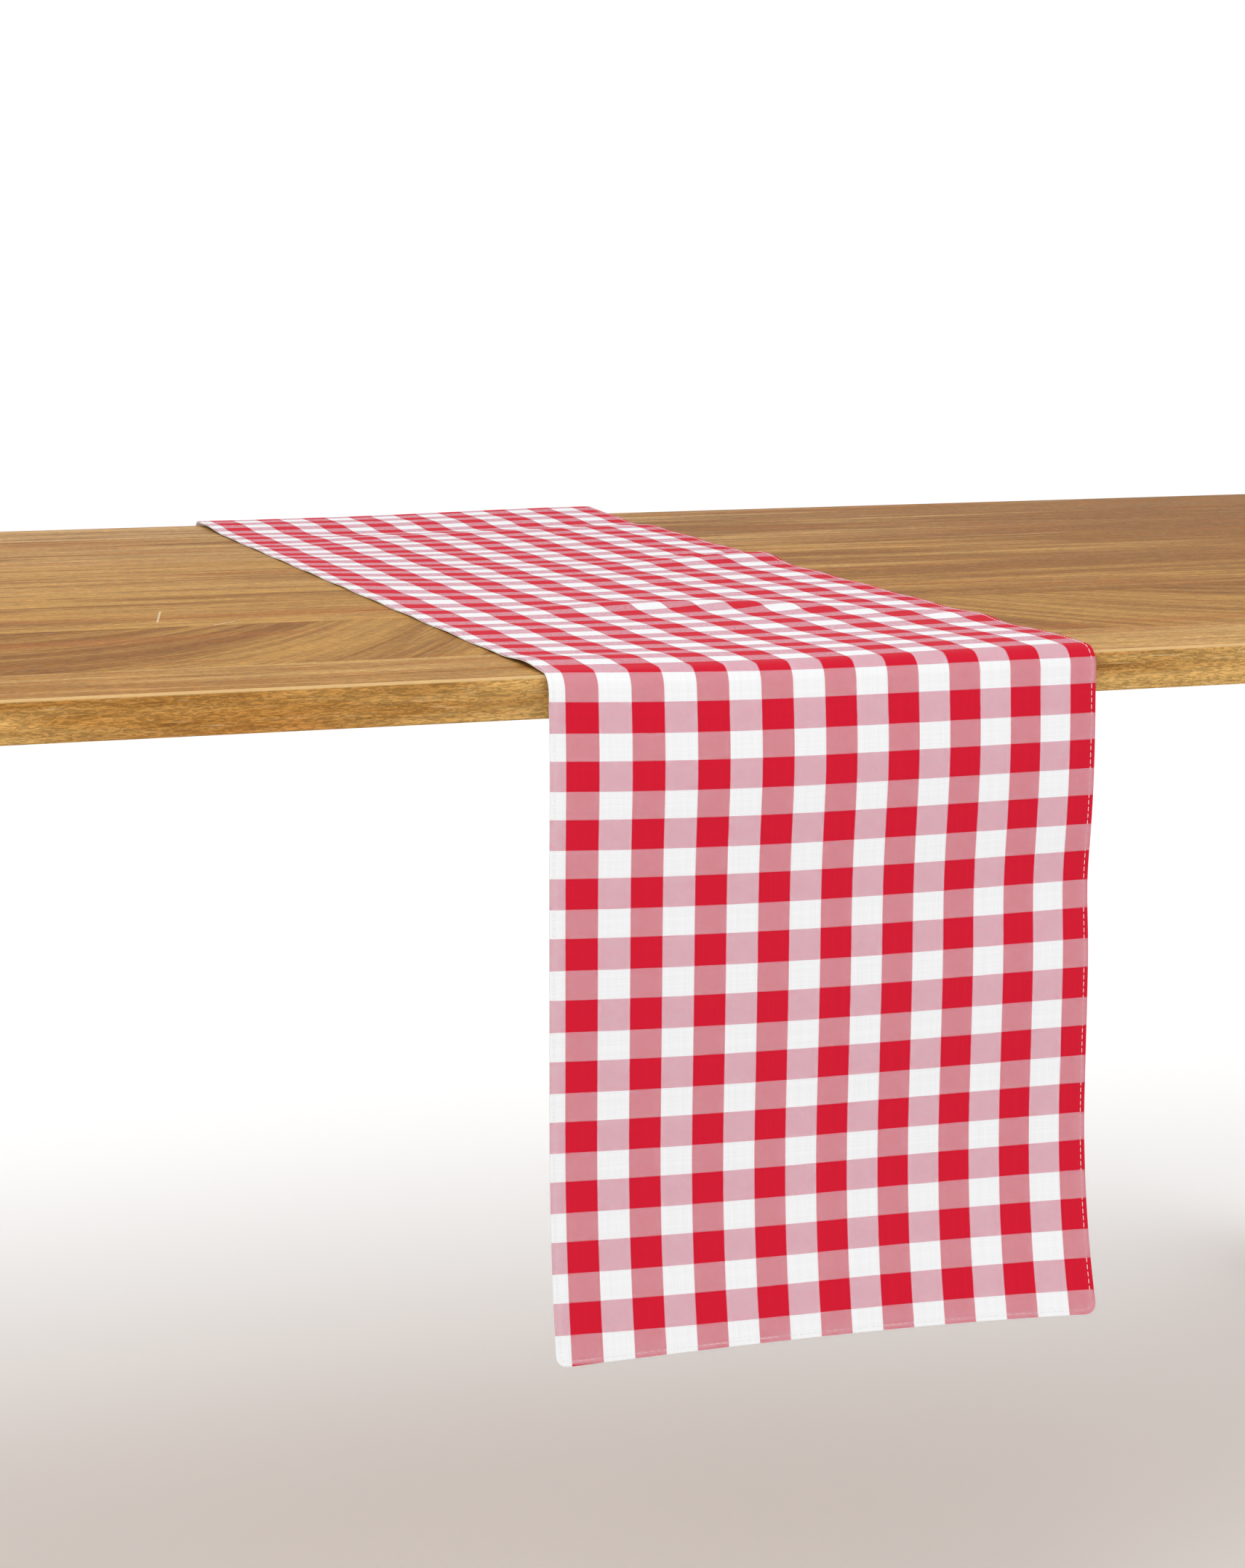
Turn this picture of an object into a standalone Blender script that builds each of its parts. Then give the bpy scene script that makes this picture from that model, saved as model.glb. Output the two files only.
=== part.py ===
"""Gingham table runner on a wooden table.

Metres, +Z up. The origin is on the floor under the middle of the table, X runs along the
table and -Y is its front. The runner lies across the table: its middle rests on the top,
and a long end hangs over the front edge and a short end over the back edge.
"""
import math

import bmesh
import bpy
from mathutils import Vector

# Table
TABLE_LENGTH = 2.0
TABLE_DEPTH = 1.0
TABLE_HEIGHT = 0.750
TOP_THICKNESS = 0.026
EDGE_BOARD_WIDTH = 0.100
INNER_BOARDS = 4
ARRIS = 0.0012
TONGUE_THICKNESS = 0.006
TONGUE_WIDTH = 0.020

# Frame under the top
BEARER_WIDTH = 0.070
BEARER_HEIGHT = 0.045
BEARER_INSET = 0.030
END_OVERHANG = 0.035
LEG_WIDTH = 0.070
LEG_CHAMFER = 0.003
LEG_TENON = 0.030
RAIL_WIDTH = 0.028
RAIL_HEIGHT = 0.050
RAIL_CLEARANCE_TO_FLOOR = 0.150
RAIL_TENON = 0.020
TENON_SHOULDER = 0.007
LEG_TENON_SHOULDER = 0.018
SPINE_WIDTH = 0.060
SPINE_HEIGHT = 0.045
SPINE_HOUSING = 0.010

# Fasteners and glides
SCREW_SHANK = 0.0025
SCREW_HEAD = 0.0055
SCREW_HEAD_HEIGHT = 0.004
SCREW_BITE = 0.016
SCREW_RECESS = 0.015
BOLT_SHANK = 0.004
BOLT_HEAD = 0.0085
BOLT_HEAD_HEIGHT = 0.006
BOLT_RECESS = 0.014
BOLT_BITE = 0.050
PEG_RADIUS = 0.004
GLIDE_RADIUS = 0.018
GLIDE_HEIGHT = 0.006
GLIDE_PIN_RADIUS = 0.003
GLIDE_PIN_LENGTH = 0.020

# Runner: two layers of cloth, the face and its backing
RUNNER_WIDTH = 0.356
FRONT_HEM_DEPTH = 0.419
BACK_HEM_DEPTH = 0.092
FACE_THICKNESS = 0.0006
BACKING_THICKNESS = 0.0006
BEND_RADIUS = 0.025
BEND_STANDOFF = 0.0075
BEND_CLEARANCE = 0.0006
RISE_LENGTH = 0.065
HINGE_GAP = 0.0022

# Fits
GAP = 0.0003
HOLE_CLEARANCE = 0.0004
ROUND_STEPS = 16
BEND_STEPS = 5
RISE_STEPS = 6

# Worked out from the sizes above
UNDERSIDE = TABLE_HEIGHT - TOP_THICKNESS
INNER_BOARD_WIDTH = (TABLE_DEPTH - 2 * EDGE_BOARD_WIDTH) / INNER_BOARDS
BOARD_WIDTHS = [EDGE_BOARD_WIDTH] + [INNER_BOARD_WIDTH] * INNER_BOARDS + [EDGE_BOARD_WIDTH]
BEARER_X = TABLE_LENGTH / 2 - END_OVERHANG - BEARER_WIDTH / 2
BEARER_LENGTH = TABLE_DEPTH - 2 * BEARER_INSET
BEARER_TOP = UNDERSIDE - GAP
BEARER_BOTTOM = BEARER_TOP - BEARER_HEIGHT
LEG_Y = BEARER_LENGTH / 2 - LEG_WIDTH / 2
LEG_TOP = BEARER_BOTTOM - GAP
LEG_BOTTOM = GLIDE_HEIGHT + GAP
CLOTH_THICKNESS = BACKING_THICKNESS + GAP + FACE_THICKNESS
BEND_REACH = BEND_RADIUS - BEND_STANDOFF
BEND_DROP = math.sqrt((BEND_RADIUS - BEND_CLEARANCE) ** 2 - BEND_REACH ** 2)
BEND_Y = TABLE_DEPTH / 2 - BEND_REACH
BEND_Z = TABLE_HEIGHT - BEND_DROP

FRONT, BACK = -1, 1


def fresh_scene():
    for obj in list(bpy.data.objects):
        bpy.data.objects.remove(obj, do_unlink=True)


def collection(name):
    group = bpy.data.collections.new(name)
    bpy.context.scene.collection.children.link(group)
    return group


def finish(name, red, green, blue, roughness, metallic=0.0):
    """A material with one colour, as linear values."""
    material = bpy.data.materials.new(name)
    material.use_nodes = True
    shader = material.node_tree.nodes["Principled BSDF"]
    shader.inputs["Base Color"].default_value = (red, green, blue, 1)
    shader.inputs["Roughness"].default_value = roughness
    shader.inputs["Metallic"].default_value = metallic
    return material


fresh_scene()
PARTS = collection("runner_on_table")
CUTTERS = collection("cutters")
TOP_WOOD = finish("oiled_top_wood", 0.46, 0.27, 0.11, 0.45)
FRAME_WOOD = finish("oiled_frame_wood", 0.38, 0.22, 0.09, 0.5)
STEEL = finish("zinc_plated_steel", 0.55, 0.56, 0.58, 0.35, 1.0)
GLIDE_PLASTIC = finish("glide_plastic", 0.05, 0.05, 0.05, 0.6)
FACE_CLOTH = finish("gingham_cloth", 0.75, 0.25, 0.28, 0.9)
BACKING_CLOTH = finish("plain_backing_cloth", 0.85, 0.85, 0.85, 0.9)


def place(name, mesh, location, material, group):
    obj = bpy.data.objects.new(name, mesh)
    obj.location = location
    if material:
        mesh.materials.append(material)
    group.objects.link(obj)
    return obj


def block(size):
    """A bmesh box of the given size, centred on its own origin."""
    form = bmesh.new()
    bmesh.ops.create_cube(form, size=1)
    bmesh.ops.scale(form, vec=size, verts=form.verts)
    return form


def bevel_edges(form, width, edges):
    bmesh.ops.bevel(form, geom=edges, offset=width, segments=1, affect="EDGES")


def add_tenon(form, direction, shoulder, length):
    """Grows a tenon from the face that looks along direction, set in by the shoulder."""
    form.normal_update()
    face = max(form.faces, key=lambda f: f.normal.dot(direction) * f.calc_area())
    bmesh.ops.inset_individual(form, faces=[face], thickness=shoulder, use_even_offset=True)
    grown = bmesh.ops.extrude_discrete_faces(form, faces=[face])["faces"][0]
    bmesh.ops.translate(form, vec=direction * length, verts=grown.verts)


def from_form(name, form, centre, material, group=PARTS):
    mesh = bpy.data.meshes.new(name)
    bmesh.ops.recalc_face_normals(form, faces=form.faces)
    form.to_mesh(mesh)
    form.free()
    return place(name, mesh, centre, material, group)


def as_cutter(obj):
    obj.hide_render = True
    obj.display_type = "WIRE"
    return obj


def box_cutter(name, size, centre):
    return as_cutter(from_form(name, block(size), centre, None, CUTTERS))


def round_cutter(name, radius, start, end):
    """A straight round hole between two points."""
    start, end = Vector(start), Vector(end)
    form = bmesh.new()
    bmesh.ops.create_cone(form, cap_ends=True, segments=ROUND_STEPS, radius1=radius,
                          radius2=radius, depth=(end - start).length)
    obj = as_cutter(from_form(name, form, (start + end) / 2, None, CUTTERS))
    obj.rotation_euler = (end - start).to_track_quat("Z", "Y").to_euler()
    return obj


def cut(obj, cutters):
    for cutter in cutters:
        hole = obj.modifiers.new(cutter.name, "BOOLEAN")
        hole.operation = "DIFFERENCE"
        hole.solver = "EXACT"
        hole.object = cutter


def turned(name, profile, base, direction, material):
    """A round piece: profile is (radius, height) from its far end to its base."""
    mesh = bpy.data.meshes.new(name)
    rows = range(len(profile) - 1)
    mesh.from_pydata([(r, 0, h) for r, h in profile], [(i, i + 1) for i in rows], [])
    obj = place(name, mesh, base, material, PARTS)
    obj.rotation_euler = Vector(direction).to_track_quat("Z", "Y").to_euler()
    spin = obj.modifiers.new("spin", "SCREW")
    spin.steps = spin.render_steps = ROUND_STEPS
    spin.use_merge_vertices = True
    spin.merge_threshold = 0.0001
    return obj


def headed_profile(head, head_height, shank, length):
    """A flat-ended fastener with its head at the base."""
    return [(0, length), (shank, length), (shank, head_height), (head, head_height),
            (head, 0), (0, 0)]


def seam_positions():
    """Y of each joint between two boards, front to back."""
    seams, y = [], -TABLE_DEPTH / 2
    for width in BOARD_WIDTHS[:-1]:
        y += width
        seams.append(y)
    return seams


def board_centres():
    edges = [-TABLE_DEPTH / 2] + seam_positions() + [TABLE_DEPTH / 2]
    return [(low + high) / 2 for low, high in zip(edges, edges[1:])]


def is_outer_edge(edge, length, outer_side, half_width):
    """Whether an edge of a board lies on the outline of the whole top."""
    low, high = (vertex.co for vertex in edge.verts)
    if abs(low.z - high.z) > GAP:
        return False
    at_end = abs(low.x) > length / 2 - GAP and abs(high.x) > length / 2 - GAP
    side = outer_side * half_width
    at_side = outer_side and abs(low.y - side) < GAP and abs(high.y - side) < GAP
    return bool(at_end and low.x * high.x > 0 or at_side)


def board(number, centre_y, width, outer_side, grooves, screw_holes):
    """One board of the top, shorter by half a gap on each side that meets a neighbour."""
    inner_sides = 2 if outer_side == 0 else 1
    true_width = width - inner_sides * GAP / 2
    shift = outer_side * (width - true_width) / 2
    form = block((TABLE_LENGTH, true_width, TOP_THICKNESS))
    outline = [e for e in form.edges
               if is_outer_edge(e, TABLE_LENGTH, outer_side, true_width / 2)]
    bevel_edges(form, ARRIS, outline)
    centre = (0, centre_y + shift, TABLE_HEIGHT - TOP_THICKNESS / 2)
    obj = from_form(f"top_board_{number}", form, centre, TOP_WOOD)
    cut(obj, grooves + screw_holes)


def tongue(number, y):
    size = (TABLE_LENGTH - 2 * ARRIS, TONGUE_WIDTH, TONGUE_THICKNESS)
    centre = (0, y, TABLE_HEIGHT - TOP_THICKNESS / 2)
    from_form(f"loose_tongue_{number}", block(size), centre, FRAME_WOOD)


def groove(number, y):
    size = (TABLE_LENGTH * 1.1, TONGUE_WIDTH + 2 * GAP, TONGUE_THICKNESS + 2 * GAP)
    return box_cutter(f"groove_{number}", size, (0, y, TABLE_HEIGHT - TOP_THICKNESS / 2))


def make_top(screw_x):
    seams = seam_positions()
    grooves = [groove(i + 1, y) for i, y in enumerate(seams)]
    for i, y in enumerate(seams):
        tongue(i + 1, y)
    for i, (y, width) in enumerate(zip(board_centres(), BOARD_WIDTHS)):
        outer_side = FRONT if i == 0 else BACK if i == len(seams) else 0
        holes = []
        if outer_side == 0:
            holes = [round_cutter(f"pilot_hole_{i + 1}_{side}", SCREW_SHANK + HOLE_CLEARANCE,
                                  (x, y, UNDERSIDE - GAP), (x, y, UNDERSIDE + SCREW_BITE + GAP))
                     for side, x in screw_x.items()]
        board(i + 1, y, width, outer_side, grooves[max(i - 1, 0):i + 1], holes)


def top_screws(side, x):
    """The screws of one bearer, one into each inner board, and their stepped holes.

    The two edge boards lie over the legs and are held by their tongues and glue.
    """
    head_face = BEARER_BOTTOM + SCREW_RECESS - SCREW_HEAD_HEIGHT
    length = UNDERSIDE + SCREW_BITE - head_face
    holes = []
    for i, y in enumerate(board_centres()[1:-1]):
        profile = headed_profile(SCREW_HEAD, SCREW_HEAD_HEIGHT, SCREW_SHANK, length)
        turned(f"top_screw_{side}_{i + 1}", profile, (x, y, head_face), (0, 0, 1), STEEL)
        holes.append(round_cutter(
            f"screw_hole_{side}_{i + 1}", SCREW_SHANK + HOLE_CLEARANCE,
            (x, y, BEARER_BOTTOM - GAP), (x, y, BEARER_TOP + GAP)))
        holes.append(round_cutter(
            f"screw_recess_{side}_{i + 1}", SCREW_HEAD + HOLE_CLEARANCE,
            (x, y, BEARER_BOTTOM - GAP), (x, y, BEARER_BOTTOM + SCREW_RECESS + GAP)))
    return holes


def leg(side, end, x, y):
    height = LEG_TOP - LEG_BOTTOM
    form = block((LEG_WIDTH, LEG_WIDTH, height))
    bevel_edges(form, LEG_CHAMFER, list(form.edges))
    shoulder = LEG_TENON_SHOULDER - LEG_CHAMFER
    add_tenon(form, Vector((0, 0, 1)), shoulder, LEG_TENON)
    return from_form(f"leg_{end}_{side}", form, (x, y, LEG_BOTTOM + height / 2), FRAME_WOOD)


def glide(side, end, x, y):
    profile = [(0, GLIDE_HEIGHT + GLIDE_PIN_LENGTH), (GLIDE_PIN_RADIUS, GLIDE_HEIGHT + GLIDE_PIN_LENGTH),
               (GLIDE_PIN_RADIUS, GLIDE_HEIGHT), (GLIDE_RADIUS, GLIDE_HEIGHT), (GLIDE_RADIUS, 0), (0, 0)]
    turned(f"glide_{end}_{side}", profile, (x, y, 0), (0, 0, 1), GLIDE_PLASTIC)
    return round_cutter(f"glide_hole_{end}_{side}", GLIDE_PIN_RADIUS + HOLE_CLEARANCE,
                        (x, y, 0), (x, y, GLIDE_HEIGHT + GLIDE_PIN_LENGTH + GAP))


def peg(side, end, x, y):
    """A round peg along X through the bearer and the leg's tenon, with the hole for it."""
    z = BEARER_BOTTOM + LEG_TENON / 2
    start, length = x - BEARER_WIDTH / 2, BEARER_WIDTH
    profile = [(0, length), (PEG_RADIUS, length), (PEG_RADIUS, 0), (0, 0)]
    turned(f"tenon_peg_{end}_{side}", profile, (start, y, z), (1, 0, 0), FRAME_WOOD)
    return round_cutter(f"peg_hole_{end}_{side}", PEG_RADIUS + HOLE_CLEARANCE,
                        (start - GAP, y, z), (start + length + GAP, y, z))


def rail(side, x):
    """The low rail between the two legs of one end, tenoned into both."""
    length = 2 * LEG_Y - LEG_WIDTH - 2 * GAP
    z = RAIL_CLEARANCE_TO_FLOOR + RAIL_HEIGHT / 2
    form = block((RAIL_WIDTH, length, RAIL_HEIGHT))
    for direction in (FRONT, BACK):
        add_tenon(form, Vector((0, direction, 0)), TENON_SHOULDER, RAIL_TENON)
    from_form(f"end_rail_{side}", form, (x, 0, z), FRAME_WOOD)
    tenon = (RAIL_WIDTH - 2 * TENON_SHOULDER + 2 * GAP, length + 2 * RAIL_TENON + 2 * GAP,
             RAIL_HEIGHT - 2 * TENON_SHOULDER + 2 * GAP)
    return box_cutter(f"rail_mortises_{side}", tenon, (x, 0, z))


def leg_mortise(side, end, x, y):
    width = LEG_WIDTH - 2 * LEG_TENON_SHOULDER + 2 * GAP
    depth = LEG_TENON + 2 * GAP
    return box_cutter(f"leg_mortise_{end}_{side}", (width, width, depth),
                      (x, y, BEARER_BOTTOM + depth / 2 - GAP))


def spine_bolt(side, direction, x):
    """The bolt that holds the spine's end, from a recess in the bearer's outer face."""
    z = BEARER_TOP - SPINE_HEIGHT / 2
    outer = x + direction * BEARER_WIDTH / 2
    seat = outer - direction * BOLT_RECESS
    spine_end = x - direction * (BEARER_WIDTH / 2 - SPINE_HOUSING)
    tip = spine_end - direction * BOLT_BITE
    inward = (-direction, 0, 0)
    head_face = seat + direction * BOLT_HEAD_HEIGHT
    profile = headed_profile(BOLT_HEAD, BOLT_HEAD_HEIGHT, BOLT_SHANK, abs(head_face - tip))
    turned(f"spine_bolt_{side}", profile, (head_face, 0, z), inward, STEEL)
    past = direction * GAP
    shank_hole = round_cutter(f"bolt_hole_{side}", BOLT_SHANK + HOLE_CLEARANCE,
                              (outer + past, 0, z), (tip - past, 0, z))
    recess = round_cutter(f"bolt_recess_{side}", BOLT_HEAD + HOLE_CLEARANCE,
                          (outer + past, 0, z), (seat - past, 0, z))
    return shank_hole, recess


def end_frame(side, direction):
    """One bearer with its legs, rail, pegs, screws and glides. Returns the bolt's hole."""
    x = direction * BEARER_X
    mortises = rail(side, x)
    bearer_cuts = top_screws(side, x)
    for end, y in (("front", -LEG_Y), ("back", LEG_Y)):
        peg_hole = peg(side, end, x, y)
        cut(leg(side, end, x, y), [mortises, glide(side, end, x, y), peg_hole])
        bearer_cuts += [leg_mortise(side, end, x, y), peg_hole]
    shank_hole, recess = spine_bolt(side, direction, x)
    housing_x = direction * (BEARER_X - BEARER_WIDTH / 2 + SPINE_HOUSING / 2)
    housing = box_cutter(f"spine_housing_{side}",
                         (SPINE_HOUSING + 2 * GAP, SPINE_WIDTH + 2 * GAP, 2 * SPINE_HEIGHT),
                         (housing_x, 0, BEARER_TOP))
    form = block((BEARER_WIDTH, BEARER_LENGTH, BEARER_HEIGHT))
    bearer = from_form(f"bearer_{side}", form, (x, 0, BEARER_TOP - BEARER_HEIGHT / 2), FRAME_WOOD)
    cut(bearer, bearer_cuts + [shank_hole, recess, housing])
    return shank_hole


def spine(bolt_holes):
    """The long rail under the middle of the top, housed in both bearers."""
    length = 2 * (BEARER_X - BEARER_WIDTH / 2 + SPINE_HOUSING)
    centre = (0, 0, BEARER_TOP - SPINE_HEIGHT / 2)
    form = block((length, SPINE_WIDTH, SPINE_HEIGHT))
    cut(from_form("spine", form, centre, FRAME_WOOD), bolt_holes)


def bend_point(direction, angle, height):
    """(y, z) on a bend at an angle from straight up, height above the cloth's inner side."""
    radius = BEND_RADIUS + height
    return direction * (BEND_Y + radius * math.sin(angle)), BEND_Z + radius * math.cos(angle)


def rise_points(direction, height):
    """The cloth's rise from the top to the crown of a bend, as half a cosine wave."""
    crown = BEND_Z + BEND_RADIUS - (TABLE_HEIGHT + GAP)
    for step in range(RISE_STEPS + 1):
        share = step / RISE_STEPS
        y = BEND_Y - RISE_LENGTH * (1 - share)
        lift = crown * (1 - math.cos(math.pi * share)) / 2
        yield direction * y, TABLE_HEIGHT + GAP + lift + height


def hinge_angle(side):
    """Where a solid stops at the middle of the bend, half the hinge's gap away from it."""
    half_gap = HINGE_GAP / 2 / (BEND_RADIUS + CLOTH_THICKNESS / 2)
    return math.pi / 4 + side * half_gap


def middle_path(height):
    """The part of the runner on the table, from the back bend to the front bend."""
    angles = [hinge_angle(-1) * (BEND_STEPS - i) / BEND_STEPS for i in range(BEND_STEPS)]
    back = [bend_point(BACK, angle, height) for angle in angles]
    front = [bend_point(FRONT, angle, height) for angle in reversed(angles)]
    down = list(rise_points(BACK, height))[::-1]
    return back + down + list(rise_points(FRONT, height)) + front


def drop_path(direction, hem_depth, height):
    """A hanging end, from the middle of its bend to its hem."""
    start = hinge_angle(1)
    turn = math.pi / 2 - start
    points = [bend_point(direction, start + turn * i / BEND_STEPS, height)
              for i in range(BEND_STEPS + 1)]
    hem_y = direction * (BEND_Y + BEND_RADIUS + height)
    return points + [(hem_y, TABLE_HEIGHT - hem_depth)]


def cloth(name, path, thickness, material, outward):
    """A strip of the runner's full width along a path of its inner side."""
    half = RUNNER_WIDTH / 2
    points = [(x, y, z) for y, z in path for x in (-half, half)]
    rows = range(len(path) - 1)
    faces = [(2 * i, 2 * i + 1, 2 * i + 3, 2 * i + 2)[::outward] for i in rows]
    mesh = bpy.data.meshes.new(name)
    mesh.from_pydata(points, [], faces)
    obj = place(name, mesh, (0, 0, 0), material, PARTS)
    wall = obj.modifiers.new("cloth_thickness", "SOLIDIFY")
    wall.thickness = thickness
    wall.offset = 1
    wall.use_even_offset = True


def make_runner():
    layers = (("backing", 0, BACKING_THICKNESS, BACKING_CLOTH),
              ("face", BACKING_THICKNESS + GAP, FACE_THICKNESS, FACE_CLOTH))
    for layer, height, thickness, material in layers:
        cloth(f"runner_{layer}", middle_path(height), thickness, material, -1)
        cloth(f"front_drop_{layer}", drop_path(FRONT, FRONT_HEM_DEPTH, height),
              thickness, material, -1)
        cloth(f"back_drop_{layer}", drop_path(BACK, BACK_HEM_DEPTH, height),
              thickness, material, 1)


def make_table():
    sides = {"left": -1, "right": 1}
    make_top({side: direction * BEARER_X for side, direction in sides.items()})
    spine([end_frame(side, direction) for side, direction in sides.items()])


make_table()
make_runner()
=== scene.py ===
# %% [markdown]
# # A gingham runner on a wooden table
# A narrow cloth lies across a table top of glued boards and hangs over its front edge. The boards,
# bearers, legs and screws come ready made as a fixed frame; this file gives them their wood and
# metal, and lays the real cloth over the frame in place of the plain solids that stand for it.

# %% Load the frame
import functools
import math

import bpy
import numpy as np
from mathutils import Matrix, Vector


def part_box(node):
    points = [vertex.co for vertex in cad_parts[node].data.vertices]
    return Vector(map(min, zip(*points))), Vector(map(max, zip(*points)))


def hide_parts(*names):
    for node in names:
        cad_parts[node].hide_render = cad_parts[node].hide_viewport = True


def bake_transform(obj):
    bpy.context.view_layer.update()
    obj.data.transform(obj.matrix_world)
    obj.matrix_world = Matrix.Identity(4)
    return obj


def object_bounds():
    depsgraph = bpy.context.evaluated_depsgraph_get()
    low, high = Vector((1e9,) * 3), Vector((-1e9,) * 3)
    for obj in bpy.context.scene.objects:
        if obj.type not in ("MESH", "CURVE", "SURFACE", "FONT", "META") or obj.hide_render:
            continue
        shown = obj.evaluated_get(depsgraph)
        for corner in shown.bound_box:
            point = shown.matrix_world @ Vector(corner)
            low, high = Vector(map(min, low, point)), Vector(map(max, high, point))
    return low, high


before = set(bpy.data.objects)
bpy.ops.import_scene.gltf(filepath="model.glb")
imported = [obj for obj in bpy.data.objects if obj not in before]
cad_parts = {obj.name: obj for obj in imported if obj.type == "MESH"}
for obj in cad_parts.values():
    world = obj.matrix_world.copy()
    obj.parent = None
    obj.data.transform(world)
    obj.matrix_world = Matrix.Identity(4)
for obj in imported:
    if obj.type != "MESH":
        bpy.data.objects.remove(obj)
cad_low, cad_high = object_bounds()
MM = 0.001
print("frame box in mm", [round(v / MM) for v in cad_high - cad_low])

# %% [markdown]
# ## Camera
# Table linen is best seen from standing height and through a long lens, which keeps the hanging
# edges nearly parallel. A camera looks along its own -Z axis, so it is turned until that axis
# points the right way, with its own Y axis kept upright.

# %% Camera
EYE = (-0.766, -2.379, 1.0213)              # left of the cloth, and 270 mm above the table top
LOOK_ALONG = (0.3163, 0.9336, -0.1683)      # to the right and a little down
LENS = 77.59                                # mm, in front of the usual 36 mm sensor


def place_camera(eye, direction, lens):
    """A camera at eye, looking along direction, with its upper edge level."""
    data = bpy.data.cameras.new("camera")
    data.lens = lens
    camera = bpy.data.objects.new("camera", data)
    camera.location = eye
    camera.rotation_euler = Vector(direction).to_track_quat("-Z", "Y").to_euler()
    bpy.context.scene.collection.objects.link(camera)
    bpy.context.scene.camera = camera


place_camera(EYE, LOOK_ALONG, LENS)
print("camera at", EYE, "with a lens of", LENS, "mm")

# %% [markdown]
# ## Colours and shader nodes
# A colour chosen on a screen is an sRGB value, but a renderer adds up light in linear values, so
# each hex colour is converted once. A material is a small graph of nodes. Every node here is added
# by one function, which sets or links whatever it is given.


# %% Colours and nodes
def linear(hex_colour):
    """An sRGB colour such as "#D92439" as linear red, green, blue and alpha."""
    values = [int(hex_colour[i : i + 2], 16) / 255 for i in (1, 3, 5)]
    return [v / 12.92 if v <= 0.04045 else ((v + 0.055) / 1.055) ** 2.4 for v in values] + [1]


def add_node(tree, kind, *inputs, out=0, **named):
    """Adds one node and gives its output of the number or name out. inputs fill its sockets in
    order. Among the named ones, a name with a capital fills the socket of that name, with _ for a
    space, in_6 fills socket 6, and any other is a setting of the node. A socket takes a value, or
    another node's output."""
    made = tree.nodes.new("ShaderNode" + kind)
    sockets = dict(enumerate(inputs))
    for key, value in named.items():
        if key[0].isupper():
            sockets[key.replace("_", " ")] = value
        elif key.startswith("in_"):
            sockets[int(key[3:])] = value
        else:
            setattr(made, key, value)
    for at, value in sockets.items():
        if isinstance(value, bpy.types.NodeSocket):
            tree.links.new(value, made.inputs[at])
        else:
            made.inputs[at].default_value = value
    return made.outputs[out] if len(made.outputs) else None


def new_material(name):
    """An empty material, and add_node ready to work on its tree."""
    material = bpy.data.materials.new(name)
    material.use_nodes = True
    material.node_tree.nodes.clear()
    return material, functools.partial(add_node, material.node_tree)


# %% [markdown]
# ## Floor and light
# The floor is one sweep of matt studio paper, which shows only a soft shadow. Nearly all the light
# comes evenly from a white room, so cloth shows its weave and colour, and one large soft box high
# at the front left gives the folds a bright and a dark side.

# %% Floor and lights
FLOOR_SIDE = 60           # metres, so that the paper's rim is far behind the table
ROOM_LIGHT = 1.05
WINDOW = {"place": (-1.4, -2.0, 3.6), "aim": (0, -0.3, 0.7), "size": 2.0, "watts": 30}


def floor_sheet(size, z):
    """A plain square of floor in matt white studio paper, which has no gloss at all."""
    mesh = bpy.data.meshes.new("floor")
    h = size / 2
    mesh.from_pydata([(-h, -h, z), (h, -h, z), (h, h, z), (-h, h, z)], [], [(0, 1, 2, 3)])
    floor = bpy.data.objects.new("floor", mesh)
    bpy.context.scene.collection.objects.link(floor)
    material, add = new_material("studio_paper")
    paper = add("BsdfPrincipled", Base_Color=linear("#FBFBFB"), Roughness=0.95,
                Specular_IOR_Level=0.0)
    add("OutputMaterial", paper)
    mesh.materials.append(material)


def soft_box(name, place, aim, size, watts):
    """A square area light at place that shines towards aim."""
    data = bpy.data.lights.new(name, "AREA")
    data.shape, data.size, data.energy = "SQUARE", size, watts
    light = bpy.data.objects.new(name, data)
    light.location = place
    light.rotation_euler = (Vector(aim) - Vector(place)).to_track_quat("-Z", "Y").to_euler()
    bpy.context.scene.collection.objects.link(light)


floor_sheet(size=FLOOR_SIDE, z=cad_low.z)
soft_box("window_light", **WINDOW)
world = bpy.data.worlds.new("white_room")
world.use_nodes = True
world.node_tree.nodes["Background"].inputs["Color"].default_value = linear("#FFFFFF")
world.node_tree.nodes["Background"].inputs["Strength"].default_value = ROOM_LIGHT
bpy.context.scene.world = world
bpy.context.scene.view_settings.view_transform = "Standard"
print("floor", FLOOR_SIDE, "m wide, soft box of", WINDOW["watts"], "W, room light", ROOM_LIGHT)

# %% [markdown]
# ## The cut of the runner
# A table runner is two strips of cloth sewn face to face, turned right side out, and stitched
# round the edge. How far it hangs down in front and behind is read from the frame, and so are the
# table's height and depth. Its width and the way it bends are the cloth's own.

# %% Sizes of the runner
top_low, top_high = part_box("top_board_1")
TABLE_TOP = top_high.z
HALF_DEPTH = -top_low.y if top_low.y < 0 else top_high.y
front_low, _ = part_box("front_drop_face")
back_low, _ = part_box("back_drop_face")
RUNNER_LEFT = front_low.x
WIDTH = 0.3545            # across, from edge to edge
HEM_DEPTH = TABLE_TOP - front_low.z
BACK_HEM_DEPTH = TABLE_TOP - back_low.z
STAND = 0.0095            # how far in front of the table's edge the cloth hangs
BEND = 0.0108             # radius of the bend over the edge
REST = 0.0009             # height of the cloth's middle above the boards where it lies flat
print("table top at", round(TABLE_TOP / MM, 1), "mm, half its depth", round(HALF_DEPTH / MM, 1))
print("hanging", round(HEM_DEPTH / MM, 1), "mm in front,", round(BACK_HEM_DEPTH / MM, 1), "behind")

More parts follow.
